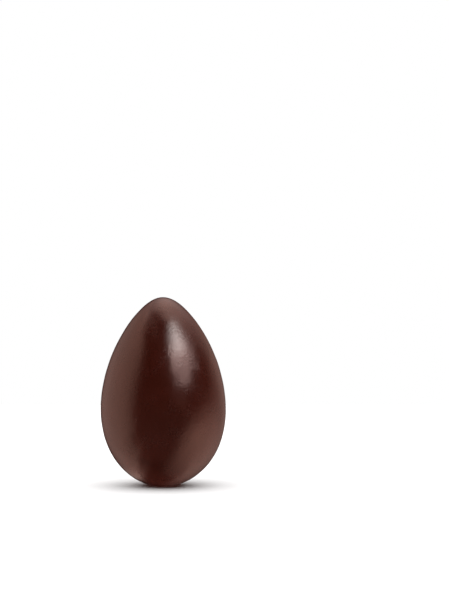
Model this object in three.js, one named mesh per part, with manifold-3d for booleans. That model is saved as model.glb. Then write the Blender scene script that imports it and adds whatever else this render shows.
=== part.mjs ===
// A moulded chocolate egg, modelled as one closed solid that stands upright on its blunt end.
// Units are millimetres and +Z is up. The origin is the centre of the flat spot that the egg
// stands on, the egg's axis is the Z axis, and the mould's two halves meet in the plane Y = 0.
import * as THREE from "three";
import { mergeVertices } from "three/addons/utils/BufferGeometryUtils.js";
import Module from "manifold-3d";

// Driving dimensions.
const EGG_LENGTH = 166.4; // tip to blunt pole, before the pole is flattened
const EGG_DIAMETER = 110; // at the widest ring
const WIDEST_BELOW_MIDDLE = 15; // how far the widest ring lies below mid-length
const SHOULDER_SLIMNESS = 0.1; // share by which the egg is slimmer than an ellipse towards its ends
const TIP_SLIMNESS = 0.1; // a further share, which counts close to the tip alone
const FOOT_DIAMETER = 18; // the flat spot
const SEAM_HEIGHT = 0.25; // the fine line that the mould's joint leaves stands this proud
const SEAM_WIDTH = 0.9;

// Fineness of the facets.
const RINGS = 56;
const SECTORS = 72;

// How close two values must be to count as one.
const SAME_ANGLE = 1e-9;
const SAME_POINT = 1e-4;

const chocolate = new THREE.MeshStandardMaterial({
  name: "dark_chocolate",
  color: 0x3a1a14,
  roughness: 0.36,
  metalness: 0,
});

// The full egg's outline at an angle that runs from 0 at the tip to PI at the blunt pole:
// x is the distance from the axis and y the height above mid-length.
function fullOutlineAt(angle) {
  const towardsTip = Math.cos(angle);
  const outwards = Math.sin(angle);
  const slimmer = SHOULDER_SLIMNESS * towardsTip ** 2 + TIP_SLIMNESS * Math.max(towardsTip, 0) ** 4;
  return new THREE.Vector2(
    (EGG_DIAMETER / 2) * outwards * (1 - slimmer),
    (EGG_LENGTH / 2) * towardsTip - WIDEST_BELOW_MIDDLE * outwards ** 2,
  );
}

// The angle at which the blunt end is as narrow as the flat spot, found by halving.
function footAngle() {
  let wider = Math.PI / 2;
  let narrower = Math.PI;
  while (narrower - wider > SAME_ANGLE) {
    const middle = (wider + narrower) / 2;
    if (fullOutlineAt(middle).x > FOOT_DIAMETER / 2) wider = middle;
    else narrower = middle;
  }
  return wider;
}

// The standing egg's outline, from the flat spot's rim up to the tip, with the flat spot at 0.
function standingOutline() {
  const lowest = footAngle();
  const footHeight = fullOutlineAt(lowest).y;
  const points = [];
  for (let ring = 0; ring <= RINGS; ring++) {
    const point = fullOutlineAt(lowest * (1 - ring / RINGS));
    points.push(new THREE.Vector2(Math.max(point.x, 0), point.y - footHeight));
  }
  return points;
}

// The egg without its seam, as a turned solid closed by the flat spot.
function bodyGeometry(outline) {
  const profile = [new THREE.Vector2(0, 0), ...outline];
  return new THREE.LatheGeometry(profile, SECTORS).rotateX(Math.PI / 2);
}

// A thin plate in the parting plane that stands SEAM_HEIGHT proud of the body all round,
// except under the flat spot. Only its rim is left to see once it is joined to the body.
function seamGeometry(outline) {
  const middle = new THREE.Vector2(0, EGG_LENGTH / 2);
  const oneSide = outline.map((point) => {
    const push = point.clone().sub(middle).setLength(SEAM_HEIGHT);
    return new THREE.Vector2(point.x + push.x, Math.max(point.y + push.y, 0));
  });
  const tip = oneSide.pop();
  const otherSide = oneSide.map((point) => new THREE.Vector2(-point.x, point.y)).reverse();
  const plate = new THREE.Shape([...oneSide, tip, ...otherSide]);
  return new THREE.ExtrudeGeometry(plate, { depth: SEAM_WIDTH, bevelEnabled: false })
    .translate(0, 0, -SEAM_WIDTH / 2)
    .rotateX(Math.PI / 2);
}

const wasm = await Module();
wasm.setup();

// A closed three.js geometry as a solid that can be joined to others.
function toSolid(geometry) {
  const bare = geometry.clone().deleteAttribute("normal").deleteAttribute("uv");
  const merged = mergeVertices(bare, SAME_POINT);
  return new wasm.Manifold(
    new wasm.Mesh({
      numProp: 3,
      vertProperties: merged.getAttribute("position").array,
      triVerts: new Uint32Array(merged.index.array),
    }),
  );
}

function toGeometry(solid) {
  const mesh = solid.getMesh();
  const geometry = new THREE.BufferGeometry()
    .setAttribute("position", new THREE.BufferAttribute(mesh.vertProperties, 3))
    .setIndex(new THREE.BufferAttribute(mesh.triVerts, 1));
  geometry.computeVertexNormals();
  return geometry;
}

function makeEgg() {
  const outline = standingOutline();
  const solid = toSolid(bodyGeometry(outline)).add(toSolid(seamGeometry(outline)));
  const egg = new THREE.Mesh(toGeometry(solid), chocolate);
  egg.name = "egg";
  return egg;
}

const model = new THREE.Group();
model.add(makeEgg());

export default model;
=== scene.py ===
import math

import bpy
import numpy as np
from mathutils import Matrix, Quaternion, Vector


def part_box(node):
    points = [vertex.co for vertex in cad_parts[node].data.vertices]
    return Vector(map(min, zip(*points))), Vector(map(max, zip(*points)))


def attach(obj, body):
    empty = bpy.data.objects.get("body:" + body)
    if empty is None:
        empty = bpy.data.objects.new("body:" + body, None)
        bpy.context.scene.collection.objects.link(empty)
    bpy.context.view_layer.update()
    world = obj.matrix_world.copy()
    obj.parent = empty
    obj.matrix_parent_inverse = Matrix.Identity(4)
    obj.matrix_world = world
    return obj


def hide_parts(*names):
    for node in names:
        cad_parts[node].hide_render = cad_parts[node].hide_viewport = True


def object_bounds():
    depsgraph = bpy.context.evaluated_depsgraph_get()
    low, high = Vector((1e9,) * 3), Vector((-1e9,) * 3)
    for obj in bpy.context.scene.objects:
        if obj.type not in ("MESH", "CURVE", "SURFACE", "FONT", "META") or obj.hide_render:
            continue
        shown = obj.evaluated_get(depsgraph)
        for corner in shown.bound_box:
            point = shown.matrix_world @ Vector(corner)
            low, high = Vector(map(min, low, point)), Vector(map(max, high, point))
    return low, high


# A moulded dark chocolate egg that stands on its blunt end, dressed for its picture.
# Everything is in metres, with +Z up and the viewer on the side of -Y.
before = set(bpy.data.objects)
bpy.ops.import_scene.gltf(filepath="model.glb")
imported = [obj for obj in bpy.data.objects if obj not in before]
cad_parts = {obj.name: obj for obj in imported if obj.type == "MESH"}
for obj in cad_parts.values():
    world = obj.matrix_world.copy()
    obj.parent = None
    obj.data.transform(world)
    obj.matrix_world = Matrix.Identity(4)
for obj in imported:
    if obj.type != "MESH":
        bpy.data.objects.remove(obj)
CAD_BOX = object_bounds()
MM = 0.001
FULL_TURN = 2 * math.pi

# The egg's outline, as it is cast.
EGG_LENGTH = 166.4 * MM  # tip to blunt pole, before the pole is flattened
EGG_RADIUS = 55 * MM  # at the widest ring
WIDEST_BELOW_MIDDLE = 15 * MM
SHOULDER_SLIMNESS = 0.1  # share by which the egg is slimmer than an ellipse towards its ends
TIP_SLIMNESS = 0.1  # a further share, which counts close to the tip alone
FOOT_RADIUS = 9 * MM

# The unevenness of cast chocolate, pressed inwards from the outline: depth, the distance from
# one hollow to the next, and the seed of their pattern.
HOLLOWS = [(0.2 * MM, 38 * MM, 121), (0.07 * MM, 16 * MM, 538), (0.035 * MM, 8 * MM, 344)]

# The line that the mould's joint leaves round the egg, in the plane Y = 0. Its width and its
# height vary along it: the distance from one swell to the next, and the seed.
SEAM_HALF_WIDTH = 0.55 * MM
SEAM_HEIGHT = 0.17 * MM
SEAM_WIDTH_SWELLS = (10 * MM, 11)
SEAM_HEIGHT_SWELLS = (16 * MM, 12)

# The foot was levelled on a warm plate, which left a soft rim, squeezed out a fine bead that
# varies round the foot, and left the flat spot slightly and unevenly dished.
FOOT_ZONE = 3 * MM  # the height up to which the foot is worked
PAST_RIM = FOOT_RADIUS * 1.001  # where the side begins, just outside the flat spot's rim
RIM_SOFTNESS = 0.12 * MM
BEAD_RADIUS = 9.8 * MM
BEAD_HALF_WIDTH = 1.0 * MM
BEAD_HEIGHT = 0.16 * MM
BEAD_SWELLS = (7 * MM, 13)
FOOT_HOLLOW = 0.1 * MM
FOOT_HOLLOW_SWELLS = (8 * MM, 14)

# Fineness of the mesh.
OUTLINE_SAMPLES = 6000  # from which the rings are spaced evenly
RINGS = 240  # from the foot's rim to the tip
FOOT_RINGS = 12
SECTORS = 348
SEAM_SECTORS = 14  # extra sectors across each side of the joint's line
SEAM_REACH = math.radians(1.3)
WAVES = 28  # plane waves that add up to one layer of unevenness


# --- The egg's shape -------------------------------------------------------------------------


def outline_at(angle):
    """Radius and height above mid-length, from angle 0 at the tip to pi at the blunt pole."""
    towards_tip = np.cos(angle)
    outwards = np.sin(angle)
    slimmer = SHOULDER_SLIMNESS * towards_tip**2 + TIP_SLIMNESS * np.maximum(towards_tip, 0) ** 4
    radius = EGG_RADIUS * outwards * (1 - slimmer)
    height = EGG_LENGTH / 2 * towards_tip - WIDEST_BELOW_MIDDLE * outwards**2
    return radius, height


def standing_outline(low, high):
    """Radii and heights at even steps from the foot's rim to the tip, as large as the CAD egg's."""
    radius, height = outline_at(np.linspace(math.pi, 0, OUTLINE_SAMPLES))
    rim = np.argmax(radius >= FOOT_RADIUS)
    radius = radius[rim:]
    height = height[rim:] - height[rim]
    length = np.concatenate([[0], np.cumsum(np.hypot(np.diff(radius), np.diff(height)))])
    steps = np.linspace(0, length[-1], RINGS + 1)
    radius = np.interp(steps, length, radius)
    height = np.interp(steps, length, height)
    across = (high.y - low.y) / 2 / radius.max()
    along = (high.z - low.z - SEAM_HEIGHT) / height[-1]
    return radius * across, height * along


def sector_angles():
    """Angles round the egg, closer together where the joint's line runs, at 0 and pi."""
    even = np.arange(SECTORS) * (FULL_TURN / SECTORS)
    close = np.linspace(-SEAM_REACH, SEAM_REACH, SEAM_SECTORS)
    half_sector = FULL_TURN / SECTORS / 2
    turned = []
    for side in (0, math.pi):
        away = np.abs((even - side + math.pi) % FULL_TURN - math.pi)
        even = even[away > SEAM_REACH + half_sector]
        turned.append(close + side)
    return np.sort(np.concatenate([even, *turned]) % FULL_TURN)


def egg_mesh(low, high):
    """The smooth egg: rings of quads from the flat spot's middle to the tip, each end a fan."""
    radius, height = standing_outline(low, high)
    tip_height = height[-1]
    foot_share = np.linspace(0, 1, FOOT_RINGS, endpoint=False)[1:]
    radius = np.concatenate([foot_share * radius[0], radius[:-1]])
    height = np.concatenate([np.zeros(len(foot_share)), height[:-1]])

    angles = sector_angles()
    count = len(angles)
    ring = np.stack([np.cos(angles), np.sin(angles)], 1)
    rings = [np.column_stack([ring * r, np.full(count, z)]) for r, z in zip(radius, height)]
    points = np.concatenate([[[0, 0, 0]], *rings, [[0, 0, tip_height]]])

    corner = np.arange(len(rings) * count).reshape(len(rings), count) + 1
    after = np.roll(corner, -1, axis=1)
    quads = np.stack([corner[:-1], after[:-1], after[1:], corner[1:]], 2).reshape(-1, 4)
    last = len(points) - 1
    foot_fan = [(0, int(b), int(a)) for a, b in zip(corner[0], after[0])]
    tip_fan = [(last, int(a), int(b)) for a, b in zip(corner[-1], after[-1])]
    mesh = bpy.data.meshes.new("egg")
    mesh.from_pydata(points.tolist(), [], quads.tolist() + foot_fan + tip_fan)
    mesh.validate()
    return mesh


def rows_of(mesh, name):
    """The places ("co") or the normals ("normal") of the mesh's points, a row for each."""
    values = np.empty(len(mesh.vertices) * 3)
    mesh.vertices.foreach_get(name, values)
    return values.reshape(-1, 3)


def unevenness(points, length, seed):
    """Smooth, irregular swells between 0 and 1 whose crests are about `length` apart."""
    draw = np.random.default_rng(seed)
    headings = draw.normal(size=(WAVES, 3))
    headings /= np.linalg.norm(headings, axis=1)[:, None]
    turns = headings.T * (FULL_TURN / (length * draw.uniform(0.75, 1.5, WAVES)))
    total = np.cos(points @ turns + draw.uniform(0, FULL_TURN, WAVES)).sum(1)
    return 0.5 + 0.5 * np.tanh(total / math.sqrt(WAVES))


def bell(distance, half_width):
    """1 in the middle, falling smoothly to 0 at `half_width` to either side."""
    return np.cos(np.clip(np.abs(distance) / half_width, 0, 1) * math.pi / 2) ** 2


def joint_line(points):
    """How far the line of the mould's joint stands proud, broken and uneven along its length."""
    width = SEAM_HALF_WIDTH * (0.7 + 0.6 * unevenness(points, *SEAM_WIDTH_SWELLS))
    patchy = 0.35 + 0.65 * unevenness(points, *SEAM_HEIGHT_SWELLS)
    return SEAM_HEIGHT * patchy * bell(points[:, 1], width)


def finish_cast(mesh):
    """Presses the unevenness inwards, leaves the joint's line standing and works the foot."""
    points = rows_of(mesh, "co")
    normals = rows_of(mesh, "normal")
    from_axis = np.hypot(points[:, 0], points[:, 1])
    height = points[:, 2]
    low_down = height < FOOT_ZONE

    depth = sum(deep * unevenness(points, apart, seed) for deep, apart, seed in HOLLOWS)
    above_foot = np.clip(height / FOOT_ZONE, 0, 1)
    moved = points + normals * ((joint_line(points) - depth) * above_foot)[:, None]

    squeezed = 0.3 + 0.7 * unevenness(points, *BEAD_SWELLS)
    bead = BEAD_HEIGHT * squeezed * bell(from_axis - BEAD_RADIUS, BEAD_HALF_WIDTH)
    beaded = low_down & (from_axis > FOOT_RADIUS) & (from_axis < BEAD_RADIUS + BEAD_HALF_WIDTH)
    moved[beaded] += (normals * bead[:, None])[beaded]

    side = low_down & (from_axis > PAST_RIM)
    softened = np.hypot(moved[:, 2], RIM_SOFTNESS) - RIM_SOFTNESS
    moved[:, 2] = np.where(side, np.maximum(softened, 0), moved[:, 2])
    inside = np.clip(1 - (from_axis / FOOT_RADIUS) ** 4, 0, 1)
    dished = FOOT_HOLLOW * inside * (0.4 + 0.6 * unevenness(points, *FOOT_HOLLOW_SWELLS))
    moved[:, 2] = np.where(height <= 0, dished, moved[:, 2])
    mesh.vertices.foreach_set("co", moved.ravel())
    mesh.update()


# --- Shader maths ----------------------------------------------------------------------------


class Wire:
    """An output socket in a node tree. Sums, products and the like add Math nodes."""

    def __init__(self, tree, socket=None):
        self.tree = tree
        self.socket = socket

    def node(self, kind, settings, sockets, output=0):
        """Adds a node, makes its settings, then fills its sockets with numbers or wires."""
        made = self.tree.nodes.new(kind)
        for name, value in settings.items():
            setattr(made, name, value)
        for name, value in sockets.items():
            if isinstance(value, Wire):
                self.tree.links.new(value.socket, made.inputs[name])
            else:
                made.inputs[name].default_value = value
        return Wire(self.tree, made.outputs[output])

    def maths(self, operation, first, second=0.0):
        return self.node("ShaderNodeMath", {"operation": operation}, {0: first, 1: second})

    def __add__(self, other):
        return self.maths("ADD", self, other)

    def __radd__(self, other):
        return self.maths("ADD", other, self)

    def __sub__(self, other):
        return self.maths("SUBTRACT", self, other)

    def __rsub__(self, other):
        return self.maths("SUBTRACT", other, self)

    def __mul__(self, other):
        return self.maths("MULTIPLY", self, other)

    def __rmul__(self, other):
        return self.maths("MULTIPLY", other, self)

    def __abs__(self):
        return self.maths("ABSOLUTE", self)

    def noise(self, length, detail):
        """Cloudy noise from 0 to 1 whose lumps are about `length` long."""
        sockets = {"Vector": self, "Scale": 1 / length, "Detail": detail, "Roughness": 0.5}
        return self.node("ShaderNodeTexNoise", {}, sockets)

    def between(self, low, high):
        """0 at `low`, 1 at `high`, and a smooth step between them."""
        settings = {"interpolation_type": "SMOOTHSTEP"}
        return self.node(
            "ShaderNodeMapRange", settings, {"Value": self, "From Min": low, "From Max": high}
        )

    def part(self, letter):
        """One component, X, Y or Z, of a vector."""
        return self.node("ShaderNodeSeparateXYZ", {}, {"Vector": self}, letter)

    def mixed(self, first, second):
        """The colour `first` where this is 0 and `second` where it is 1."""
        return self.node("ShaderNodeMix", {"data_type": "RGBA"}, {0: self, 6: first, 7: second}, 2)

    def feed(self, node, name):
        """Links this to an input socket of a node."""
        self.tree.links.new(self.socket, node.inputs[name])


# --- Finishes --------------------------------------------------------------------------------

DEEP_BROWN = (0.0240, 0.0040, 0.0020, 1)
WARM_BROWN = (0.0280, 0.0049, 0.0027, 1)
RUBBED_BROWN = (0.060, 0.020, 0.012, 1)  # the joint's line and the foot, where the gloss is gone
GLOSS_TINT = (1.0, 0.80, 0.71, 1)
CHOCOLATE_IOR = 1.5

# How far apart the marks of each kind lie.
BROWN_CLOUDS = 26 * MM
DULL_PATCHES = 12 * MM
RUBBED_LUMPS = 4.5 * MM
BREATH = 3.0 * MM
PEEL = 2.2 * MM

PEEL_DEPTH = 0.09 * MM
GLOSSY_PEEL = 0.35  # the share of the peel that is left where the gloss isn't dull
JOINT_CORE = 0.3 * MM  # rubbed most this near to the joint's line, and not beyond its reach
JOINT_REACH = 1.0 * MM
JOINT_RUBBED = 0.5  # how rubbed the joint's line is, where the foot is 1
SCUFF_LOW = 0.05 * MM  # rubbed most up to this height, and not above the high one
SCUFF_HIGH = 0.7 * MM
RUBBED_SHARE = 0.8  # of the rubbed brown, where the chocolate is rubbed most

# The roughness of the glossiest chocolate, and what each kind of mark adds to it.
ROUGHNESS = 0.21
ROUGHER_WITH_BREATH = 0.025
ROUGHER_WHERE_DULL = 0.055
ROUGHER_WHERE_RUBBED = 0.2


def dark_chocolate():
    """Glossy chocolate in two browns, dull in patches, with a skin like orange peel."""
    material = bpy.data.materials.new("dark_chocolate")
    material.use_nodes = True
    surface = material.node_tree.nodes["Principled BSDF"]
    place = Wire(material.node_tree).node("ShaderNodeTexCoord", {}, {}, "Object")
    clouds = place.noise(BROWN_CLOUDS, detail=3.0).between(0.35, 0.7)
    lumps = place.noise(RUBBED_LUMPS, detail=2.0)
    dull = place.noise(DULL_PATCHES, detail=1.0).between(0.4, 0.65)
    breath = place.noise(BREATH, detail=1.0).between(0.35, 0.7)

    from_joint = abs(place.part("Y"))
    joint = (1 - from_joint.between(JOINT_CORE, JOINT_REACH)) * lumps.between(0.2, 0.55)
    low_down = 1 - place.part("Z").between(SCUFF_LOW, SCUFF_HIGH)
    rubbed = joint * JOINT_RUBBED + low_down * lumps.between(0.1, 0.6)

    brown = clouds.mixed(DEEP_BROWN, WARM_BROWN)
    colour = (rubbed * RUBBED_SHARE).mixed(brown, RUBBED_BROWN)
    marks = breath * (ROUGHER_WITH_BREATH + dull * ROUGHER_WHERE_DULL)
    roughness = ROUGHNESS + marks + rubbed * ROUGHER_WHERE_RUBBED
    peel = place.noise(PEEL, detail=0.0) * (GLOSSY_PEEL + dull * (1 - GLOSSY_PEEL))
    relief = {"Strength": 1.0, "Distance": PEEL_DEPTH, "Height": peel}
    colour.feed(surface, "Base Color")
    roughness.feed(surface, "Roughness")
    place.node("ShaderNodeBump", {}, relief).feed(surface, "Normal")
    surface.inputs["IOR"].default_value = CHOCOLATE_IOR
    surface.inputs["Specular Tint"].default_value = GLOSS_TINT
    return material


def make_egg():
    low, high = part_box("egg")
    mesh = egg_mesh(low, high)
    finish_cast(mesh)
    mesh.shade_smooth()
    mesh.materials.append(dark_chocolate())
    egg = bpy.data.objects.new("cast_egg", mesh)
    bpy.context.scene.collection.objects.link(egg)
    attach(egg, "root")
    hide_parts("egg")
    return egg


# --- The table and the lights ----------------------------------------------------------------

EGG_MIDDLE = Vector((0, 0, (CAD_BOX[0].z + CAD_BOX[1].z) / 2))
TABLE_REACH = 0.9
PAPER_WHITE = (0.85, 0.85, 0.85, 1)
BACKDROP = (1, 1, 1, 1)
DIM_ROOM = (0.022, 0.009, 0.008, 1)

LIGHT_DISTANCE = 1.5
WHITE = (1, 1, 1)
COCOA = (1, 0.28, 0.2)
RUSSET = (1, 0.5, 0.4)
TAN = (1, 0.62, 0.53)
WARM = (1, 0.66, 0.57)
CREAM = (1, 0.74, 0.69)
ROSE = (1, 0.82, 0.85)
DAYLIGHT = (0.83, 0.93, 1)
HARD_EDGES = (0.01, 0.01, 0.01, 0.01)

# The panels that the egg mirrors. Each has its centre (azimuth and elevation) and its reach to the
# sides and up and down, then how far it is turned in its own plane, all in degrees, its brightness
# and hue, and the shares of it over which its light fades in from the left, right, bottom and top.
PANELS = {
    "left_wall": ((-106, 8), (61.5, 52.5), 2, 2.5, WARM, (0.96, 0.5, 0.25, 0.2)),
    "left_skirting": ((-108, -43), (50, 16), -4, 2.2, WARM, (0.9, 0.6, 0.1, 0.55)),
    "back_right_wall": ((136, -13), (44, 49), -5, 1.6, WARM, (0.8, 0.97, 0.02, 0.28)),
    "overhead": ((149, 62), (52, 45), 0, 3.6, CREAM, (0.6, 0.6, 0.66, 0.25)),
    "window": ((53, 53), (23, 12.5), -6.5, 20.0, DAYLIGHT, (0.6, 0.97, 0.06, 0.1)),
    "window_sill": ((60, 43), (30, 15), -8, 5.4, ROSE, (0.02, 0.6, 0.1, 0.5)),
    "window_ledge": ((40, 24.4), (22.5, 5.4), 7, 4.8, ROSE, (0.65, 0.25, 0.1, 0.3)),
    "under_window": ((33, 4), (20, 10), 0, 0.3, RUSSET, (0.5, 0.5, 0.5, 0.3)),
    "low_right_card": ((92.5, -43), (52, 50), 30, 2.45, TAN, (0.5, 0.65, 0.75, 0.35)),
    "low_left_card": ((-118, -57), (49, 10), -29, 0.8, WARM, (0.05, 0.65, 0.25, 0.97)),
    "low_front_card": ((-12, -17), (43, 51), 0, 0.33, COCOA, (0.02, 0.96, 0.02, 0.75)),
    "foot_card": ((-165, -62), (38, 30), 0, 0.16, COCOA, (0.3, 0.3, 0.2, 0.4)),
    "top_left_card": ((-60, 63), (31, 8), 0, 1.8, CREAM, (0.02, 0.95, 0.7, 0.75)),
}
# The one that lights the table and its shadow, in the same terms.
TABLE_PANEL = ((0, 90), (60, 60), 0, 2.1, WHITE, HARD_EDGES)


def direction(azimuth, elevation):
    """Unit vector from the egg; azimuth 0 is towards the viewer and 90 to the viewer's right."""
    a = math.radians(azimuth)
    e = math.radians(elevation)
    return Vector((math.sin(a) * math.cos(e), -math.cos(a) * math.cos(e), math.sin(e)))


def softbox(name, centre, reach, turn, brightness, hue, fades, lit):
    """A panel that faces the egg, and lights only the object `lit`."""
    light = bpy.data.lights.new(name, "AREA")
    light.shape = "RECTANGLE"
    light.size = 2 * LIGHT_DISTANCE * math.tan(math.radians(reach[0]))
    light.size_y = 2 * LIGHT_DISTANCE * math.tan(math.radians(reach[1]))
    light.energy = brightness * math.pi * light.size * light.size_y
    light.color = hue
    light.use_nodes = True
    spot = Wire(light.node_tree).node("ShaderNodeNewGeometry", {}, {}, "Parametric")
    left, right, bottom, top = fades
    strength = spot.part("X").between(0, left) * spot.part("X").between(1, 1 - right)
    strength = strength * spot.part("Y").between(0, bottom) * spot.part("Y").between(1, 1 - top)
    strength.feed(light.node_tree.nodes["Emission"], "Strength")

    lamp = bpy.data.objects.new(name, light)
    aim = direction(*centre)
    lamp.location = EGG_MIDDLE + aim * LIGHT_DISTANCE
    lamp.rotation_mode = "QUATERNION"
    turned = Quaternion((0, 0, 1), math.radians(turn))
    lamp.rotation_quaternion = aim.to_track_quat("Z", "Y") @ turned
    lamp.visible_camera = False
    bpy.context.scene.collection.objects.link(lamp)
    receivers = bpy.data.collections.new(name + "_lights")
    receivers.objects.link(lit)
    lamp.light_linking.receiver_collection = receivers


def set_lights(egg, table):
    for name, panel in PANELS.items():
        softbox(name, *panel, egg)
    softbox("over_table", *TABLE_PANEL, table)


def set_world():
    """White where the camera looks past the table, and a dim brown room for the egg."""
    world = bpy.data.worlds.new("studio")
    world.use_nodes = True
    bpy.context.scene.world = world
    seen = Wire(world.node_tree).node("ShaderNodeLightPath", {}, {}, "Is Camera Ray")
    seen.mixed(DIM_ROOM, BACKDROP).feed(world.node_tree.nodes["Background"], "Color")


def white_paper():
    material = bpy.data.materials.new("white_paper")
    material.use_nodes = True
    surface = material.node_tree.nodes["Principled BSDF"]
    surface.inputs["Base Color"].default_value = PAPER_WHITE
    surface.inputs["Roughness"].default_value = 1.0
    surface.inputs["Specular IOR Level"].default_value = 0.0
    return material


def make_table():
    """A white sheet that takes the egg's shadow, but is not mirrored in it and shades nothing."""
    signs = [(-1, -1), (1, -1), (1, 1), (-1, 1)]
    corners = [(x * TABLE_REACH, y * TABLE_REACH, 0) for x, y in signs]
    mesh = bpy.data.meshes.new("table_top")
    mesh.from_pydata(corners, [], [(0, 1, 2, 3)])
    mesh.materials.append(white_paper())
    table = bpy.data.objects.new("table_top", mesh)
    table.visible_glossy = False
    table.visible_shadow = False
    bpy.context.scene.collection.objects.link(table)
    return table


# --- The camera ------------------------------------------------------------------------------

FRAME_HEIGHT = 608  # pixels of the picture's long side
PIXEL = 0.8773 * MM  # at the egg's distance
CAMERA_ELEVATION = 1.95  # degrees; the egg stands low in the frame, so its foot is seen from 6.5
LENS = 135.0  # millimetres
SENSOR = 36.0  # millimetres, along the picture's long side
EGG_LEFT_OF_CENTRE = 53.7 * MM
EGG_BELOW_CENTRE = 76.65 * MM


def set_camera():
    data = bpy.data.cameras.new("camera")
    data.lens = LENS
    data.sensor_width = SENSOR
    camera = bpy.data.objects.new("camera", data)
    bpy.context.scene.collection.objects.link(camera)
    back = direction(0, CAMERA_ELEVATION)
    right = Vector((1, 0, 0))
    up = back.cross(right)
    distance = FRAME_HEIGHT * PIXEL * LENS / SENSOR
    centre = EGG_MIDDLE + right * EGG_LEFT_OF_CENTRE + up * EGG_BELOW_CENTRE
    turn = Matrix((right, up, back)).transposed()
    camera.matrix_world = Matrix.Translation(centre + back * distance) @ turn.to_4x4()
    bpy.context.scene.camera = camera


egg = make_egg()
table = make_table()
set_world()
set_lights(egg, table)
set_camera()
bpy.context.scene.view_settings.view_transform = "Standard"
